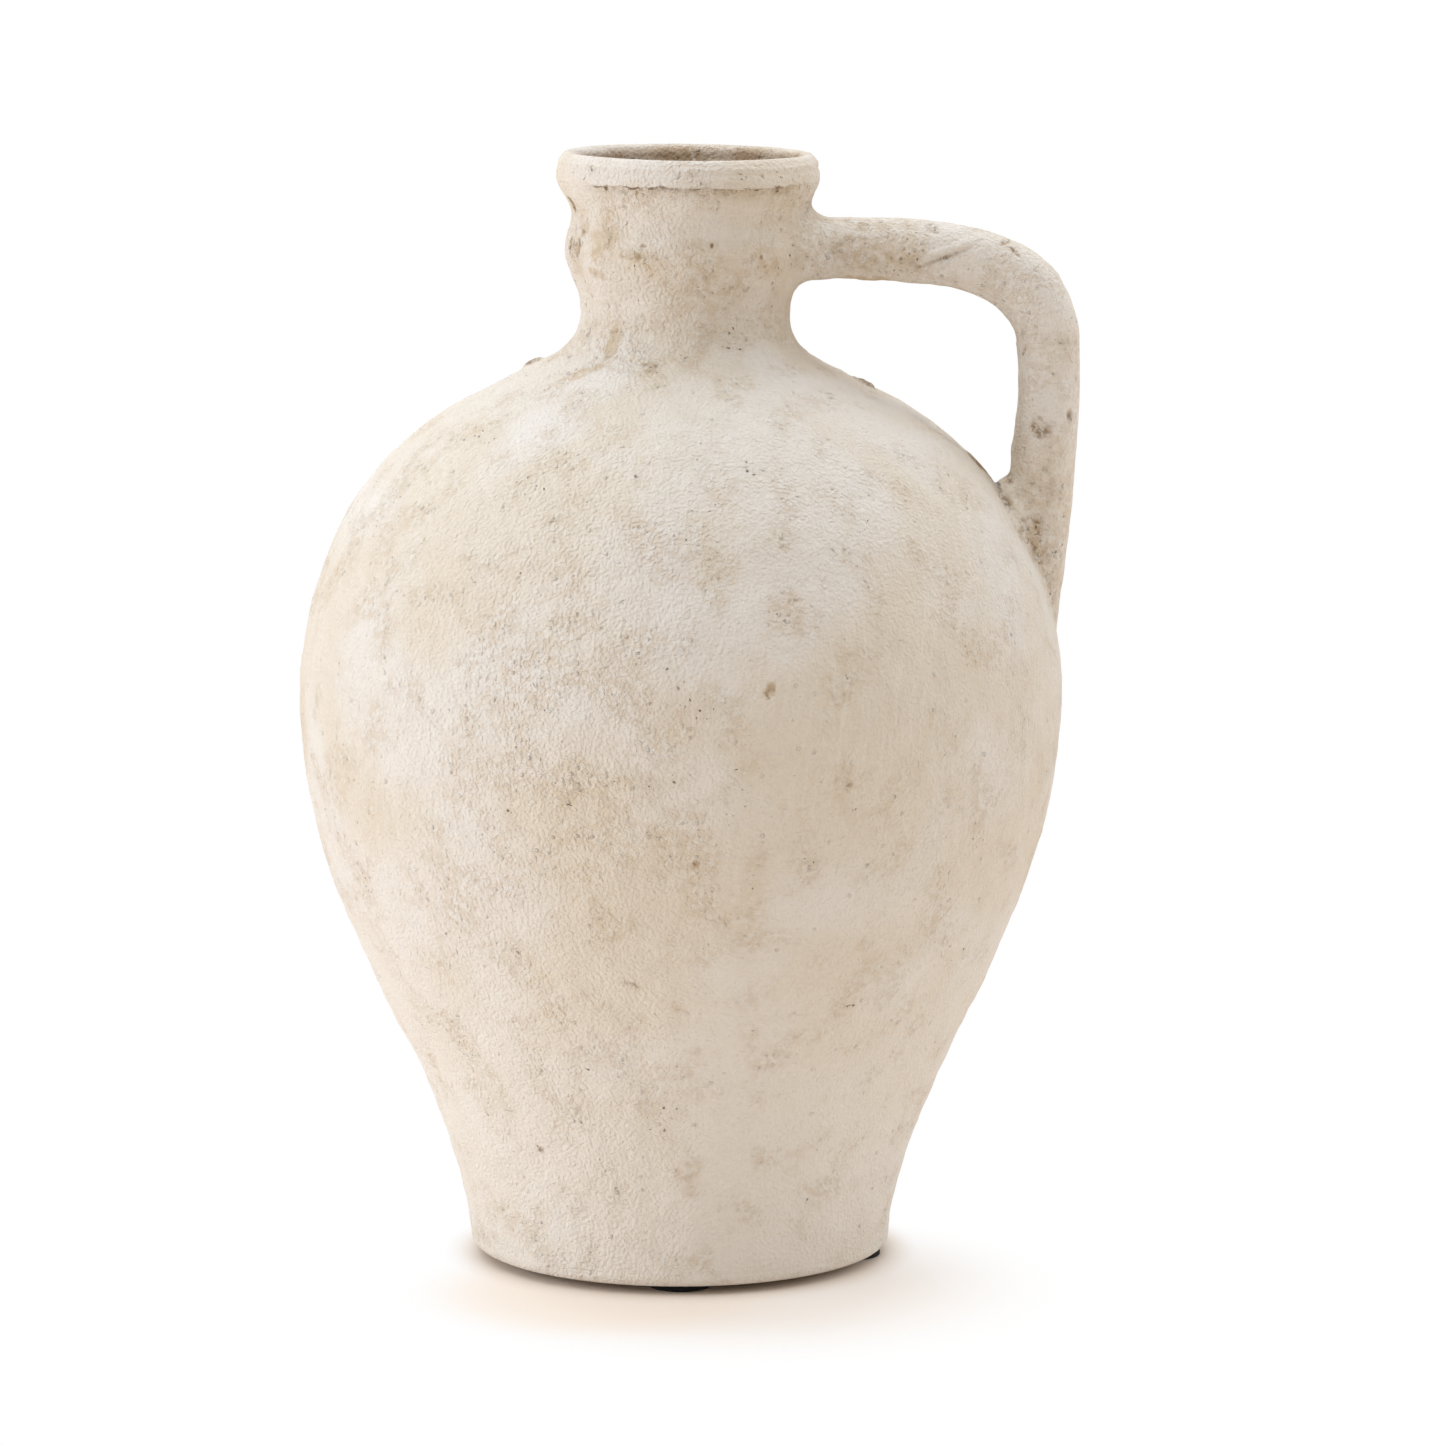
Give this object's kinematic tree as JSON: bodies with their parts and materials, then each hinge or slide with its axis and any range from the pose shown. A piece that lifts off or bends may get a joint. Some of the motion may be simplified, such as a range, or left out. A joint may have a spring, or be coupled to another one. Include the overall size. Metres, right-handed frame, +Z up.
{
  "type": "handled terracotta vase",
  "caption": "Round-bellied terracotta jug vase with a short collared neck, a rolled rim, a strap handle from neck to shoulder and stick-on pads under its foot.",
  "frame": {"origin": "on the vessel's axis, at the table the pads stand on", "axes": "+Z up along the vessel's axis, +X towards the handle, -Y towards the side the picture shows"},
  "size_m": [0.2244, 0.22, 0.3199],
  "materials": {
    "chalk_clay": "fired clay under a brushed chalky wash, matte, pitted and stained",
    "raw_clay": "bare fired clay, matte",
    "pad_foam": "closed-cell foam, matte",
    "adhesive": "thin film"
  },
  "bodies": {
    "root": {"base_disc": "raw_clay", "lower_wall": "chalk_clay", "shoulder": "chalk_clay", "neck_collar": "chalk_clay", "rim_roll": "chalk_clay", "base_seam_coil": "raw_clay", "belly_seam_coil": "raw_clay", "handle": "chalk_clay", "handle_upper_lute": "chalk_clay", "handle_lower_lute": "chalk_clay", "pad_front": "pad_foam", "pad_right": "pad_foam", "pad_back": "pad_foam", "pad_left": "pad_foam", "pad_adhesive": "adhesive"}
  },
  "joints": []
}
